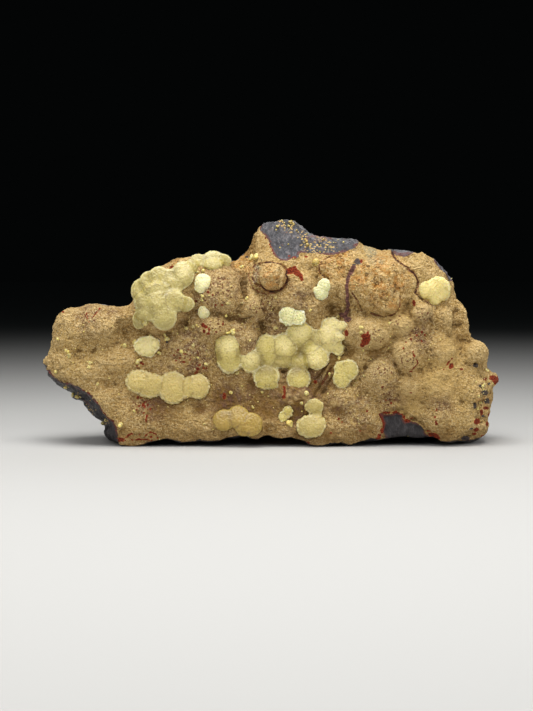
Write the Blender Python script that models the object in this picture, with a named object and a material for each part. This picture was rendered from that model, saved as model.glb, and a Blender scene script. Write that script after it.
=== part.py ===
"""An austinite specimen: pale yellow-green austinite, grown in button-like groups on a lumpy limonite matrix.

The matrix is one stone. Its front is a botryoidal crust, and its back, foot, lower left edge and crest are
broken faces of the dark goethite below the crust. Each group of austinite grown together is one solid.
Shapes are made in millimetres and brought to metres at the end. The specimen stands on z = 0 and faces -Y.
"""

from math import radians

import bmesh
import bpy
from mathutils import Matrix, Vector, noise
from mathutils.bvhtree import BVHTree

MM = 0.001

# Driving sizes of the matrix
HALF_WIDTH = 37.5
HEIGHT = 36.8

# What grows on the front is laid out as it is seen from EYE, on an upright plane through the widest section.
# A place (x, z) on that plane stands for the spot on the stone that the line of sight through it meets.
EYE = Vector((-0.5, -300.0, 31.65))
SIGHT_PLANE_Y = -3.0
# The move that puts the middle of the finished specimen over the origin
CENTRING = Vector((0.1, 0.85, 0.0))

# How finely the stone is made, and the gap that an austinite group keeps to it
VOXEL = 0.5
MATRIX_TRIANGLES = 5900
GAP = 0.37
SHARP_ANGLE = radians(35)

# The stone's outline from the front: up the left end, over the top and down the right end
OUTLINE = (
    (-29.0, -0.2), (-31.0, 2.0), (-32.5, 3.6), (-34.5, 5.5), (-37.0, 7.6), (-38.3, 10.0), (-38.2, 12.0),
    (-37.5, 13.4), (-36.6, 14.8), (-36.0, 17.0), (-35.4, 19.0), (-35.0, 21.1), (-33.9, 22.0), (-31.2, 22.0),
    (-29.6, 22.9), (-27.5, 22.7), (-26.3, 22.3), (-24.0, 22.7), (-22.2, 24.2), (-20.4, 27.2), (-18.4, 28.7),
    (-15.6, 30.2), (-12.8, 30.7), (-9.2, 30.3), (-5.9, 29.7), (-3.9, 31.1), (-2.9, 33.3), (-1.4, 35.9),
    (1.1, 36.6), (4.0, 36.8), (5.5, 35.6), (7.2, 33.9), (10.0, 33.7), (13.8, 33.6), (16.0, 32.6),
    (18.6, 31.8), (23.0, 31.7), (25.6, 30.8), (28.1, 29.2), (29.8, 27.2), (30.4, 24.6), (32.4, 22.1),
    (33.0, 18.8), (33.6, 17.0), (35.7, 15.7), (36.0, 12.2), (37.5, 10.5), (36.6, 8.8), (37.0, 6.9),
    (36.3, 3.6), (35.8, 1.8), (33.6, 0.4),
)
# The lower edge of the front, from right to left, where the crust hangs a little above the ground
FRONT_EDGE = (
    (30.4, 1.1), (25.0, 1.1), (19.5, 0.9), (17.2, 0.6), (15.2, -0.1), (12.2, 0.7), (9.3, -0.3), (7.0, 0.5),
    (4.2, 1.4), (0.0, 1.9), (-5.5, 1.8), (-9.6, 1.2), (-14.5, 0.7), (-19.1, 1.3), (-21.7, 1.0),
    (-23.6, 0.3),
)
# The cross sections from front to back: depth y, how far the ends and the top draw in, and the foot's lift
SECTIONS = (
    (-11.0, 9.0, 9.5, 0.0), (-10.3, 5.0, 6.0, 0.0), (-8.6, 2.2, 3.2, 0.1), (-6.2, 0.7, 1.1, 0.2),
    (-3.0, 0.0, 0.0, -0.4), (3.0, 0.4, 0.3, -2.2), (8.0, 2.4, 2.6, -2.2), (12.0, 6.5, 6.5, -1.6),
    (13.6, 12.0, 12.0, 1.5),
)

# Rounded lobes of the crust: place (x, z), half width, half height and rise, which LUMP_STRENGTH scales
LUMP_STRENGTH = 1.25
LUMPS = (
    # left end
    (-27.1, 19.3, 4.6, 3.6, 2.4), (-33.2, 18.1, 3.0, 4.1, 1.9), (-34.5, 13.2, 3.3, 2.0, 1.3),
    (-29.9, 11.2, 4.1, 2.1, 1.0), (-25.3, 13.2, 4.1, 2.3, 1.2), (-27.9, 6.9, 3.3, 2.5, 0.8),
    (-22.2, 4.5, 4.1, 3.6, 0.8),
    # shoulder below and beside the crest group
    (-18.1, 23.7, 5.6, 5.6, 3.2), (-13.9, 26.7, 4.3, 4.0, 2.6), (-8.2, 24.7, 4.5, 4.6, 2.6),
    (-8.8, 28.2, 3.4, 1.6, 1.9), (-2.7, 22.1, 2.1, 2.6, 1.9), (-9.2, 18.8, 4.3, 2.1, 1.8),
    (-4.5, 16.5, 2.6, 3.0, 1.3), (-13.1, 16.0, 4.6, 3.0, 1.0), (-14.8, 12.5, 4.9, 2.0, 0.7),
    (-3.5, 26.0, 1.5, 3.0, 0.9),
    # top middle, with the two small broken domes
    (0.1, 27.4, 2.8, 2.5, 2.2), (2.7, 23.4, 3.6, 2.1, 1.5), (5.4, 25.9, 2.6, 2.6, 1.3),
    (9.3, 28.8, 2.0, 1.8, 1.3), (6.3, 29.7, 2.3, 1.3, 0.9), (10.8, 25.7, 2.0, 2.1, 1.3),
    (12.4, 23.4, 1.3, 1.5, 1.1), (7.3, 22.1, 2.6, 2.0, 1.1), (13.6, 28.7, 1.6, 2.0, 1.2),
    # the large ochre dome and the lobes right of it
    (17.9, 26.0, 5.1, 4.9, 3.0), (19.5, 22.6, 2.6, 1.8, 2.3), (25.6, 28.4, 4.3, 3.6, 2.1),
    (23.2, 25.4, 1.5, 2.1, 1.3), (25.1, 21.4, 2.1, 2.0, 1.9), (28.9, 20.4, 1.6, 2.6, 1.7),
    (31.7, 20.4, 1.3, 3.6, 1.9), (16.2, 18.1, 3.6, 2.5, 2.0), (21.2, 19.3, 2.6, 1.6, 1.8),
    (22.8, 14.8, 2.6, 2.8, 1.9), (28.1, 15.2, 3.0, 2.6, 1.5), (33.9, 14.5, 2.5, 2.3, 2.0),
    (18.2, 10.6, 2.8, 3.0, 1.8), (23.2, 9.4, 2.6, 2.6, 1.3), (28.9, 9.4, 3.3, 3.3, 1.1),
    (33.4, 9.2, 2.3, 3.3, 1.2), (13.6, 13.8, 2.0, 1.6, 0.9),
    # the smoother foot
    (-18.1, 3.6, 5.6, 3.0, 0.9), (-10.6, 2.8, 4.0, 2.3, 0.8), (-3.2, 2.8, 4.9, 2.3, 1.1),
    (2.5, 2.0, 3.0, 1.6, 0.7), (10.0, 2.0, 3.3, 2.6, 1.1), (14.9, 3.6, 3.0, 3.6, 0.9),
    (13.3, 6.9, 4.0, 2.3, 1.2), (30.6, 3.6, 4.0, 3.0, 1.0), (5.0, 7.6, 3.6, 2.0, 0.9),
)
# Hollows between the lobes: place (x, z), radius and depth
HOLLOWS = (
    (10.8, 21.3, 2.2, 1.9), (-23.7, 18.0, 1.9, 1.5), (12.4, 14.7, 2.0, 1.2), (7.7, 9.2, 1.6, 0.9),
    (-1.2, 19.1, 1.5, 1.3), (-14.1, 19.6, 1.5, 1.0), (-4.2, 26.0, 0.9, 1.0), (4.7, 14.8, 4.3, 1.4),
)

# The break below the left end, as the space it leaves: the corner line of the stone (x, z) at each depth y
LEFT_BREAK = (
    (-18.0, (-35.6, 13.7), (-26.4, 9.9), (-23.3, 1.6)),
    (-9.5, (-36.7, 13.2), (-27.6, 7.5), (-24.4, 0.5)),
    (0.0, (-37.9, 12.7), (-29.1, 5.0), (-25.6, -0.6)),
    (18.0, (-32.0, 14.5), (-24.0, 9.0), (-21.0, 0.0)),
)
# Broken faces of the back: a point on each and its outward normal
BACK_BREAKS = (
    ((-20.0, 9.5, 12.0), (-0.42, 0.90, 0.10)), ((4.0, 12.2, 14.0), (0.06, 0.98, -0.16)),
    ((24.0, 10.5, 18.0), (0.38, 0.86, 0.34)), ((2.0, 9.0, 30.0), (-0.10, 0.60, 0.79)),
)
# The crest face leans back from the crust's edge to the peak. It ends at these x.
CREST_POINT = Vector((6.0, -9.2, 31.2))
CREST_NORMAL = Vector((0.03, -0.56, 0.83))
CREST_SPAN = (-1.6, 15.5)
# A chip at the lower right, where a flake of crust has come away: its outline (x, z) and the y of its face
CHIP = (
    (17.8, 5.6), (21.5, 5.8), (22.9, 4.5), (24.0, 4.3), (25.4, 2.9), (27.2, 1.3), (27.4, -3.0),
    (16.6, -3.0), (18.4, 2.9),
)
CHIP_Y = -10.0

# The uneven relief of the broken faces: how deep it is, and how far apart its rises are
BREAK_ROUGHNESS = 0.55
BREAK_GRAIN = 4.2

# The austinite: each lobe of a group as place (x, z) and radius
GROUPS = {
    "crest_group": (
        (-20.4, 25.1, 2.3), (-17.9, 27.4, 2.0), (-19.2, 23.1, 2.3), (-14.3, 27.7, 2.1), (-16.1, 25.7, 2.0),
        (-11.6, 29.1, 1.8), (-8.7, 29.0, 1.9), (-7.2, 28.9, 1.3), (-15.1, 23.1, 2.0), (-13.6, 22.9, 1.3),
        (-17.2, 20.6, 2.1), (-20.0, 22.1, 2.0), (-21.4, 20.1, 1.4), (-12.9, 28.4, 1.7), (-10.2, 28.9, 1.7),
    ),
    "crest_pearl": ((-11.0, 26.1, 1.4), (-10.8, 25.4, 1.1)),
    "shoulder_pearl": ((-10.6, 21.6, 1.1),),
    "left_rosette": ((-20.7, 16.0, 1.6), (-19.7, 15.8, 1.6), (-20.0, 15.0, 1.0)),
    "left_row": (
        (-22.0, 10.1, 1.6), (-20.0, 9.6, 1.9), (-18.7, 8.4, 1.5), (-15.9, 9.4, 2.3), (-15.7, 8.1, 1.8),
        (-12.0, 9.2, 1.9), (-11.0, 9.9, 1.2),
    ),
    "centre_group": (
        (-7.0, 16.2, 1.9), (-6.7, 13.7, 2.0), (-3.4, 13.7, 1.6), (-0.1, 15.5, 2.3), (2.5, 15.7, 2.5),
        (4.7, 17.9, 2.0), (-0.3, 10.7, 2.1), (4.4, 11.2, 2.1), (8.0, 14.0, 2.1), (5.2, 14.7, 2.0),
        (7.2, 16.5, 1.8), (10.0, 18.6, 1.6), (11.6, 19.3, 1.3), (11.4, 17.1, 1.4), (10.8, 15.5, 1.2),
        (10.5, 17.3, 1.8), (2.5, 13.5, 1.3),
    ),
    "pale_pair": ((2.8, 21.4, 1.4), (4.8, 21.4, 1.25)),
    "upper_pair": ((8.9, 25.9, 1.55), (8.0, 24.6, 1.35)),
    "right_pair": ((13.3, 11.9, 1.6), (11.9, 10.4, 1.6)),
    "right_disc": ((26.6, 25.4, 2.2), (28.2, 25.7, 2.3), (27.1, 24.0, 1.9)),
    "foot_group": ((-7.7, 3.8, 1.8), (-4.9, 4.3, 1.7), (-3.7, 3.0, 2.1)),
    "foot_pip": ((2.9, 5.3, 0.9), (2.2, 4.1, 0.8)),
    "foot_pair": ((7.3, 5.8, 1.5), (7.8, 4.3, 1.0), (6.5, 2.6, 1.9), (7.7, 3.0, 1.6)),
}
# A lobe's centre stands off the stone by LOBE_STANDOFF of its radius
LOBE_STANDOFF = 0.12
LOBE_FLATNESS = 0.74
GROUP_VOXEL = 0.22
TRIANGLES_PER_LOBE = 56


def clear_scene():
    for obj in list(bpy.data.objects):
        bpy.data.objects.remove(obj, do_unlink=True)


def mesh_of(bm, name):
    """Turns a bmesh into a mesh and frees the bmesh."""
    bmesh.ops.recalc_face_normals(bm, faces=bm.faces)
    mesh = bpy.data.meshes.new(name)
    bm.to_mesh(mesh)
    bm.free()
    return mesh


def bmesh_of(mesh):
    bm = bmesh.new()
    bm.from_mesh(mesh)
    return bm


def shaped(mesh, *modifiers):
    """The mesh after a stack of modifiers, each a type and its settings."""
    holder = bpy.data.objects.new("holder", mesh)
    bpy.context.scene.collection.objects.link(holder)
    for kind, settings in modifiers:
        modifier = holder.modifiers.new(kind.title(), kind)
        for name, value in settings.items():
            setattr(modifier, name, value)
    graph = bpy.context.evaluated_depsgraph_get()
    made = bpy.data.meshes.new_from_object(holder.evaluated_get(graph))
    bpy.data.objects.remove(holder)
    return made


def cut(mesh, tool_mesh):
    """The mesh with the tool's space taken away."""
    tool = bpy.data.objects.new("cutter", tool_mesh)
    tool.hide_render = True
    tool.display_type = "WIRE"
    bpy.context.scene.collection.objects.link(tool)
    made = shaped(mesh, ("BOOLEAN", {"operation": "DIFFERENCE", "solver": "EXACT", "object": tool}))
    bpy.data.objects.remove(tool)
    return made


def decimated(mesh, triangles):
    """The mesh with about this many triangles."""
    mesh.calc_loop_triangles()
    ratio = min(1.0, triangles / len(mesh.loop_triangles))
    return shaped(mesh, ("DECIMATE", {"ratio": ratio}))


def surface(mesh):
    bm = bmesh_of(mesh)
    tree = BVHTree.FromBMesh(bm)
    bm.free()
    return tree


def seen_at(tree, x, z):
    """Where the line of sight through (x, z) of the sight plane meets a surface, and its normal there."""
    sight = Vector((x, SIGHT_PLANE_Y, z)) - EYE
    point, normal, _, _ = tree.ray_cast(EYE, sight.normalized())
    return point, normal


def section_points(y, ends, top, foot):
    """The closed outline of one cross section, as points in order."""
    narrow = 1 - ends / HALF_WIDTH
    low = 1 - top / HEIGHT
    over = [Vector((x * narrow, y, z * low)) for x, z in OUTLINE]
    under = [Vector((x * narrow, y, z + foot)) for x, z in FRONT_EDGE]
    return over + under


def stone_block():
    """The plain block under the lobes: cross sections bridged from front to back, with closed ends."""
    bm = bmesh.new()
    rings = []
    for section in SECTIONS:
        verts = [bm.verts.new(p) for p in section_points(*section)]
        rings.append([bm.edges.new((a, b)) for a, b in zip(verts, verts[1:] + verts[:1])])
    for near, far in zip(rings, rings[1:]):
        bmesh.ops.bridge_loops(bm, edges=near + far)
    for end in (rings[0], rings[-1]):
        bmesh.ops.holes_fill(bm, edges=end, sides=0)
    return bm


def add_ellipsoid(bm, centre, outward, radii, fineness=3):
    """An ellipsoid whose middle radius points along the outward direction."""
    turn = outward.to_track_quat("-Y", "Z").to_matrix().to_4x4()
    place = Matrix.Translation(centre) @ turn @ Matrix.Diagonal((*radii, 1.0))
    bmesh.ops.create_icosphere(bm, subdivisions=fineness, radius=1.0, matrix=place)


def lumpy_block():
    """The block with every lobe of the crust merged into it."""
    bm = stone_block()
    bmesh.ops.recalc_face_normals(bm, faces=bm.faces)
    tree = BVHTree.FromBMesh(bm)
    for x, z, half_width, half_height, rise in LUMPS:
        centre, outward = seen_at(tree, x, z)
        add_ellipsoid(bm, centre, outward, (half_width, LUMP_STRENGTH * rise, half_height))
    mesh = mesh_of(bm, "lumpy_block")
    return shaped(mesh, ("REMESH", {"mode": "VOXEL", "voxel_size": VOXEL}), ("SMOOTH", {"iterations": 2}))


def press_hollows(bm, tree):
    """Pushes the surface in, away from the eye, at each hollow."""
    for x, z, radius, depth in HOLLOWS:
        middle, _ = seen_at(tree, x, z)
        away = (middle - EYE).normalized()
        for vert in bm.verts:
            near = 1 - (vert.co - middle).length / (1.6 * radius)
            if near > 0:
                vert.co += away * depth * near * near * (3 - 2 * near)


def break_off(bm, point, normal):
    """Removes all that lies beyond a plane and closes the stone there."""
    made = bmesh.ops.bisect_plane(
        bm, geom=bm.verts[:] + bm.edges[:] + bm.faces[:], plane_co=point, plane_no=normal, clear_outer=True,
    )
    rim = [part for part in made["geom_cut"] if isinstance(part, bmesh.types.BMEdge)]
    bmesh.ops.holes_fill(bm, edges=rim, sides=0)


def crest_cutter():
    """A slab above the crest face."""
    bm = bmesh.new()
    low, high = CREST_SPAN
    reach = 16.0
    turn = CREST_NORMAL.to_track_quat("Z", "X").to_matrix().to_4x4()
    bmesh.ops.create_cube(bm, size=1.0)
    bmesh.ops.scale(bm, vec=(reach, high - low, reach), verts=bm.verts)
    bmesh.ops.translate(bm, vec=(0.0, 0.0, reach / 2), verts=bm.verts)
    middle = Vector(((low + high) / 2, CREST_POINT.y, CREST_POINT.z))
    bmesh.ops.transform(bm, matrix=Matrix.Translation(middle) @ turn, verts=bm.verts)
    return mesh_of(bm, "crest_cutter")


def left_cutter():
    """The space below the left end: the same cross section, drawn at four depths and bridged."""
    bm = bmesh.new()
    rings = []
    for y, high, middle, low in LEFT_BREAK:
        corners = (high, middle, low, (low[0], -30.0), (-70.0, -30.0), (-70.0, high[1]))
        verts = [bm.verts.new((x, y, z)) for x, z in corners]
        rings.append([bm.edges.new((a, b)) for a, b in zip(verts, verts[1:] + verts[:1])])
    for near, far in zip(rings, rings[1:]):
        bmesh.ops.bridge_loops(bm, edges=near + far)
    for end in (rings[0], rings[-1]):
        bmesh.ops.holes_fill(bm, edges=end, sides=0)
    return mesh_of(bm, "left_cutter")


def chip_cutter():
    """A prism in front of the chip's face."""
    bm = bmesh.new()
    face = bm.faces.new([bm.verts.new((x, CHIP_Y, z)) for x, z in CHIP])
    made = bmesh.ops.extrude_face_region(bm, geom=[face])
    pulled = [part for part in made["geom"] if isinstance(part, bmesh.types.BMVert)]
    bmesh.ops.translate(bm, vec=(0.0, -6.0, 0.0), verts=pulled)
    return mesh_of(bm, "chip_cutter")


def roughen_breaks(bm):
    """Gives the broken faces the uneven, splintery relief of massive goethite. The crust is left as it is."""
    bm.normal_update()
    shifts = []
    for vert in bm.verts:
        behind = min(1.0, max(0.0, (vert.co.y + 1.0) / 4.0))
        below = min(1.0, max(0.0, (-vert.normal.z - 0.45) / 0.3))
        share = max(behind, below)
        coarse = noise.noise(vert.co / BREAK_GRAIN)
        fine = noise.noise(vert.co / (0.4 * BREAK_GRAIN) + Vector((9.0, 0.0, 0.0)))
        shifts.append(vert.normal * BREAK_ROUGHNESS * share * (1.6 * coarse + 0.7 * fine))
    for vert, shift in zip(bm.verts, shifts):
        vert.co += shift


def stand_flat(mesh):
    """Cuts the foot off flat at the ground, so that the stone rests on several level pads."""
    bm = bmesh.new()
    size = 4 * HALF_WIDTH
    bmesh.ops.create_cube(bm, size=size)
    bmesh.ops.translate(bm, vec=(0.0, 0.0, -size / 2), verts=bm.verts)
    return cut(mesh, mesh_of(bm, "ground"))


def build_matrix():
    """The whole stone, in millimetres."""
    bm = bmesh_of(lumpy_block())
    press_hollows(bm, BVHTree.FromBMesh(bm))
    for point, normal in BACK_BREAKS:
        break_off(bm, Vector(point), Vector(normal).normalized())
    bmesh.ops.triangulate(bm, faces=bm.faces)
    mesh = mesh_of(bm, "stone")
    for cutter in (left_cutter(), crest_cutter(), chip_cutter()):
        mesh = cut(mesh, cutter)
    mesh = shaped(mesh, ("REMESH", {"mode": "VOXEL", "voxel_size": VOXEL}), ("SMOOTH", {"iterations": 2}))
    bm = bmesh_of(mesh)
    roughen_breaks(bm)
    return stand_flat(decimated(mesh_of(bm, "matrix"), MATRIX_TRIANGLES))


def swollen(mesh, by):
    """A copy of a mesh with its surface moved out, made anew so that it doesn't cross itself in grooves."""
    bm = bmesh_of(mesh)
    bm.normal_update()
    places = [vert.co + vert.normal * by for vert in bm.verts]
    for vert, place in zip(bm.verts, places):
        vert.co = place
    made = shaped(mesh_of(bm, "swollen"), ("REMESH", {"mode": "VOXEL", "voxel_size": VOXEL}))
    return decimated(made, MATRIX_TRIANGLES)


def build_group(lobes, stone, stone_with_gap):
    """One group of austinite: its lobes merged, and its underside cut to the stone's shape."""
    bm = bmesh.new()
    for x, z, radius in lobes:
        foot, outward = seen_at(stone, x, z)
        outward = (outward + (EYE - foot).normalized()).normalized()
        centre = foot + outward * radius * LOBE_STANDOFF
        add_ellipsoid(bm, centre, outward, (radius, radius * LOBE_FLATNESS, radius))
    merge = ("REMESH", {"mode": "VOXEL", "voxel_size": GROUP_VOXEL})
    mesh = shaped(mesh_of(bm, "lobes"), merge, ("SMOOTH", {"iterations": 2}))
    return cut(decimated(mesh, TRIANGLES_PER_LOBE * len(lobes)), stone_with_gap)


def finish(name, mesh, material):
    """Brings a mesh to metres and makes it a named piece of the specimen."""
    mesh.name = name
    mesh.transform(Matrix.Scale(MM, 4) @ Matrix.Translation(CENTRING))
    mesh.materials.clear()
    mesh.materials.append(material)
    mesh.shade_smooth()
    mesh.set_sharp_from_angle(angle=SHARP_ANGLE)
    piece = bpy.data.objects.new(name, mesh)
    bpy.context.scene.collection.objects.link(piece)
    return piece


def surface_material(name, colour, roughness):
    material = bpy.data.materials.new(name)
    material.use_nodes = True
    shader = material.node_tree.nodes["Principled BSDF"]
    shader.inputs["Base Color"].default_value = (*colour, 1.0)
    shader.inputs["Roughness"].default_value = roughness
    shader.inputs["Metallic"].default_value = 0.0
    return material


def main():
    clear_scene()
    limonite = surface_material("limonite", (0.33, 0.22, 0.10), 0.85)
    austinite = surface_material("austinite", (0.70, 0.62, 0.28), 0.5)
    stone_mesh = build_matrix()
    stone = surface(stone_mesh)
    stone_with_gap = swollen(stone_mesh, GAP)
    for name, lobes in GROUPS.items():
        finish(name, build_group(lobes, stone, stone_with_gap), austinite)
    finish("matrix", stone_mesh, limonite)


main()
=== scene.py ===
# The looks of an austinite specimen: a limonite crust with broken goethite faces, and the austinite on it.
import random
from math import radians, tan

import bmesh
import bpy
import numpy as np
from mathutils import Matrix, Vector, noise
from mathutils.bvhtree import BVHTree


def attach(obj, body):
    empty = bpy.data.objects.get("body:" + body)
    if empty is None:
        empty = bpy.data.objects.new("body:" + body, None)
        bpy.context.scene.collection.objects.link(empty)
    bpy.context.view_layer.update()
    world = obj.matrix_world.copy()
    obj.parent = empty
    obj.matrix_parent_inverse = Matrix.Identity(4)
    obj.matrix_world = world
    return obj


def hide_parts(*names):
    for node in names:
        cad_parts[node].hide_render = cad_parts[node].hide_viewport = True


MM = 0.001
PICTURE = (533, 711)

# The camera stands level with the stone's upper edge and looks a little down. Lengths are in millimetres.
EYE = Vector((-0.4, -299.15, 31.65))
PITCH = radians(3.35)
LENS = 91.24
SENSOR = 36.0
FOCAL_PX = LENS / SENSOR * PICTURE[1]
PX_PER_MM = FOCAL_PX / 290.0

# How finely the pieces are made
STONE_VOXEL = 0.22
STONE_TRIANGLES = 196000
GROUP_VOXEL = 0.13

# Marks on the stone, as places (u, v) in the picture

# Broken faces of goethite, each an outline that may run past the stone's edge
BROKEN = {
    "crest": (
        (258, 221), (260, 226), (262, 232), (266, 238), (270, 243), (272, 250), (276, 257), (281, 260),
        (287, 261), (292, 259), (298, 257), (299, 253), (305, 252), (318, 254), (330, 255), (338, 254),
        (345, 252), (350, 250), (355, 247), (361, 245), (369, 245), (380, 236), (372, 190), (250, 190),
    ),
    "right_crest": ((388, 244), (391, 251), (396, 255), (404, 256.5), (410, 255), (415, 251), (412, 240)),
    "right_shoulder": ((433, 256), (435, 263), (440, 269), (445, 274), (450, 281), (460, 274), (444, 252)),
    "chip": (
        (380, 413), (385, 414), (390, 414), (396, 413), (401, 413), (403, 419), (406, 422), (411, 421),
        (417, 423), (422, 427), (426, 433), (431, 439), (433, 460), (384, 460), (386, 440), (383, 432),
        (384, 423),
    ),
    "left": (
        (30, 362), (42, 367), (50, 371), (57, 380), (62, 383), (70, 383), (77, 386), (84, 391), (92, 395),
        (96, 401), (100, 406), (103, 412), (108, 418), (114, 421), (116, 428), (117, 436), (118, 443),
        (118, 470), (10, 470), (10, 364),
    ),
}
# Bits of crust left on the broken faces: place, half width and half height in pixels
ISLANDS = ((319, 238, 7, 2.6), (312, 237, 3, 1.6))
# Where the crust ends towards the back, in millimetres
CRUST_END_Y = 2.6

# Shifts that bring the stone's outline to its place: place, reach, and shift across and up in millimetres
SHIFTS = (
    (130, 292, 20, 0.85, -0.35), (141, 272, 18, 0.45, -0.55), (441, 258, 17, -0.6, -0.55),
    (472, 304, 15, -0.6, -0.3), (475, 322, 14, -0.6, 0.0), (93, 408, 14, -0.9, -0.5), (107, 432, 10, -0.3, 0.0),
    (492, 379, 9, 0.75, 0.0), (489, 351, 8, -0.1, 0.0), (452, 288, 12, 0.4, 0.0), (489, 395, 9, 0.35, 0.0),
    (486, 430, 10, 0.5, 0.1), (60, 379, 9, -1.4, -0.2), (68, 388, 7, -0.6, -0.2), (80, 397, 6, -0.9, -0.3),
    (112, 436, 9, -0.9, -0.1), (52, 372, 7, -0.6, 0.0), (234, 433, 8, 0.0, -0.45),
)
# Knobs that stand out of the crust, and hollows in it: place, radius in pixels and height in millimetres
KNOBS = (
    (421, 315, 10, 0.5), (420, 335, 14, 0.3), (407, 356, 15, 0.3), (380, 375, 17, 0.3), (385, 325, 16, 0.25),
    (475, 352, 13, 0.3), (445, 322, 13, 0.3), (415, 300, 9, 0.3), (390, 398, 14, 0.25), (446, 362, 14, 0.25),
    (440, 402, 16, 0.2), (360, 325, 11, 0.3), (365, 350, 10, 0.2), (348, 351, 8, -0.25), (395, 332, 6, -0.4),
    (366, 368, 4, -0.4), (406, 386, 12, 0.3), (362, 395, 9, -0.4), (393, 352, 5, -0.2), (431, 350, 8, -0.2),
    (458, 325, 5, -0.4), (475, 365, 2.2, -0.9), (332, 309, 6, -0.35),
    (218, 325, 12, 0.45), (244, 330, 15, 0.5), (220, 293, 19, 0.5), (254, 307, 11, 0.4),
    (291, 300, 13, 0.35), (284, 371, 3, -0.7), (322, 310, 8, -0.3), (292, 420, 5, -0.5), (322, 392, 5, -0.5),
    (252, 384, 4, -0.3), (123, 328, 10, -0.5), (116, 338, 8, -0.3), (95, 328, 20, 0.4), (75, 330, 18, 0.25),
    (437, 394, 10, 0.2), (105, 365, 16, 0.3), (108, 380, 12, -0.3), (105, 396, 14, 0.25), (62, 362, 10, 0.3),
    (172, 335, 8, -0.4), (180, 352, 16, 0.4), (390, 271, 15, 0.5), (387, 300, 17, 0.38),
    (361, 287, 13, 0.35), (405, 282, 11, 0.35), (396, 291, 4, -0.3), (376, 282, 6, -0.4),
    (330, 267, 12, 0.35), (343, 262, 7, 0.3), (470, 438, 7, -0.4), (484, 393, 2.6, -0.3), (485, 401, 2.6, -0.3),
    (475, 405, 2, -0.3), (484, 386, 7, 0.3), (482, 410, 7, 0.3), (478, 425, 6, 0.3), (240, 275, 6, -0.3), (455, 318, 7, 0.25),
    (305, 290, 10, 0.3), (232, 392, 30, -0.3), (150, 350, 30, -0.2), (370, 337, 12, 0.25), (404, 322, 12, 0.28),
    (449, 317, 8, 0.3),
)
# Broad swells of the crust, in the same terms
SWELLS = ((386, 345, 44, 0.95), (347, 325, 20, 0.5), (150, 318, 26, 0.5))
# Nodules with a steep edge: place, half width and half height in pixels, and height in millimetres
NODULES = ((273, 277.5, 14.2, 14.4, 0.65),)

# Seams in the crust: the line, its half width and depth in millimetres, and how dark its stain is; on the dark
# cracks this is their own stain, on the broad shallow grooves a little painted shade
SEAMS = (
    (((352, 293), (355, 297), (358, 302), (359.5, 308), (361, 311)), 0.1, 0.3, 0.8),
    (((371, 313.5), (378, 315.5), (386, 316.5), (392, 315), (398, 311), (400, 305), (400.5, 296)), 0.1, 0.35, 0.75),
    (((392, 251), (394, 257), (396, 260), (402, 264), (407, 267), (410, 271), (414, 273), (418, 281),
      (418, 287), (415, 293)), 0.15, 0.5, 1.1),
    (((415, 293), (420, 297), (427, 302), (433, 306)), 0.1, 0.4, 0.9),
    (((285, 267), (287, 271), (286, 275), (288, 279), (285, 286), (280, 290), (272, 292), (266, 290),
      (261, 286)), 0.14, 0.5, 1),
    (((260, 287), (255, 284), (252, 278), (252, 270), (255, 264.5), (262, 262.5), (272, 262), (281, 264),
      (285, 267)), 0.1, 0.5, 1),
    (((256.5, 268), (258.5, 275), (259.5, 281), (262, 287)), 0.08, 0.4, 1),
    (((254.5, 267), (255.5, 276), (257.5, 283)), 0.05, 0.2, 0.8),
    (((250.5, 268), (248.6, 274), (249.5, 281), (253, 288), (259, 292), (266, 294), (275, 293)), 0.1, 0.2, 0.75),
    (((335, 256), (328, 257), (322, 261), (319, 266), (319, 271), (322, 275), (328, 278)), 0.1, 0.4, 1),
    (((244.5, 274), (244.5, 284), (245, 297)), 0.3, 0.7, 0.3),
    (((211, 314), (222, 316), (230, 318), (240, 320), (251, 319)), 0.35, 0.6, 0.2),
    (((258, 318), (261, 326), (264, 334), (262, 342)), 0.5, 0.25, 0.1),
    (((326, 362), (322, 371), (318, 377)), 0.25, 0.6, 0.4),
    (((322, 382), (318, 388), (315, 396)), 0.2, 0.5, 0.4),
    (((331, 368), (327, 376), (322, 384)), 0.18, 0.5, 0.6), (((334, 376), (328, 383), (322, 392)), 0.15, 0.4, 0.4),
    (((262, 300), (262, 306), (265, 311)), 0.15, 0.4, 0.3),
    (((455, 310), (456, 322), (458, 333), (462, 340), (470, 339)), 0.35, 0.45, 0.1),
    (((390, 352), (396, 358), (396, 366), (401, 375), (411, 376)), 0.3, 0.3, 0.1),
    (((363, 375), (365, 368), (370, 362), (377, 359)), 0.3, 0.35, 0.1),
    (((411, 318), (416, 322), (424, 323), (431, 320)), 0.3, 0.3, 0.1),
)
# The dark vein that crosses the crust: the line, its half width in millimetres and how far it stands out
VEIN = (
    (((354, 267), (352, 270), (350, 273)), 0.26, 0.15),
    (((350, 273), (347.5, 281), (347, 290), (347.5, 298)), 0.17, 0.12),
    (((347.5, 297), (348, 305), (347, 311), (345, 315)), 0.25, 0.45),
    (((341, 314), (345, 317), (349, 318.5), (345, 321)), 0.26, 0.2),
)
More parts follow.
